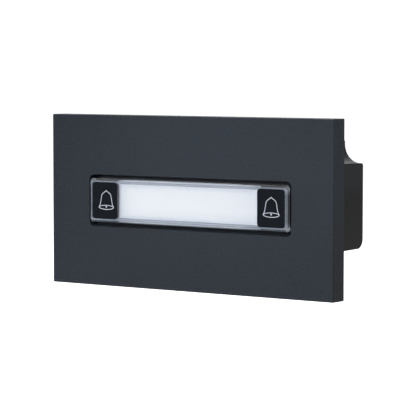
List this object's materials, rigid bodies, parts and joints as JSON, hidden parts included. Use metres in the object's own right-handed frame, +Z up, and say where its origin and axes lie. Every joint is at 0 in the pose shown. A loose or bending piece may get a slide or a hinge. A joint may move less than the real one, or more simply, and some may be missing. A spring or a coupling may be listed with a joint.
{
  "type": "intercom button module",
  "caption": "Wall-mounted intercom call button module: a wide rocker key with a lit name strip between bell pads, set in a dark metal face plate with a rear housing.",
  "frame": {"origin": "centre of the plane of the face plate's rear rim, which meets the wall or carrier frame", "axes": "+X to the right seen from the front, +Y back into the wall, +Z up; the front faces -Y"},
  "size_m": [0.1, 0.0214, 0.05],
  "materials": {
    "plate_metal": "fine-textured dark grey coating",
    "seal_rubber": "matte",
    "housing_plastic": "fine spark-eroded texture",
    "screw_steel": "zinc plated",
    "frame_plastic": "smooth matte black",
    "board_laminate": "green solder mask",
    "switch_plastic": "smooth",
    "white_plastic": "bright white",
    "lamp_body": "white body with a pale yellow lens",
    "chip_epoxy": "moulded epoxy",
    "connector_plastic": "smooth",
    "pin_brass": "gold-plated",
    "clear_plastic": "clear polished polycarbonate",
    "pad_plastic": "smooth satin black",
    "label_card": "bare white card, lit from behind",
    "opal_plastic": "opal",
    "plunger_plastic": "smooth"
  },
  "bodies": {
    "module": {"front_plate": "plate_metal", "plate_gasket": "seal_rubber", "rear_housing": "housing_plastic", "case_screws": "screw_steel", "key_frame": "frame_plastic", "circuit_board": "board_laminate", "left_switch": "switch_plastic", "right_switch": "switch_plastic", "light_box": "white_plastic", "led_1": "lamp_body", "led_2": "lamp_body", "led_3": "lamp_body", "led_4": "lamp_body", "controller_chip": "chip_epoxy", "bus_connector": "connector_plastic", "connector_pins": "pin_brass"},
    "key": {"key_cap": "clear_plastic", "left_bell_pad": "pad_plastic", "right_bell_pad": "pad_plastic", "name_label": "label_card", "diffuser": "opal_plastic", "key_carrier": "frame_plastic"},
    "left_plunger": {"left_plunger": "plunger_plastic"},
    "right_plunger": {"right_plunger": "plunger_plastic"}
  },
  "joints": [
    {"name": "key_tilt", "type": "hinge", "parent": "module", "child": "key", "pos_m": [0, 0.0012, 0], "axis": [0, 0, 1], "range_deg": [-1.4, 1.4], "stiffness_Nm_per_rad": 3},
    {"name": "right_plunger_slide", "type": "slide", "parent": "module", "child": "right_plunger", "axis": [0, 1, 0], "range_m": [-0.00075, 0.00075]},
    {"name": "left_plunger_slide", "type": "slide", "parent": "module", "child": "left_plunger", "axis": [0, 1, 0], "range_m": [-0.00075, 0.00075]}
  ],
  "couplings": [
    {"joint": "right_plunger_slide", "follows": "key_tilt", "m_per_rad": 0.029625},
    {"joint": "left_plunger_slide", "follows": "key_tilt", "m_per_rad": -0.029625}
  ]
}
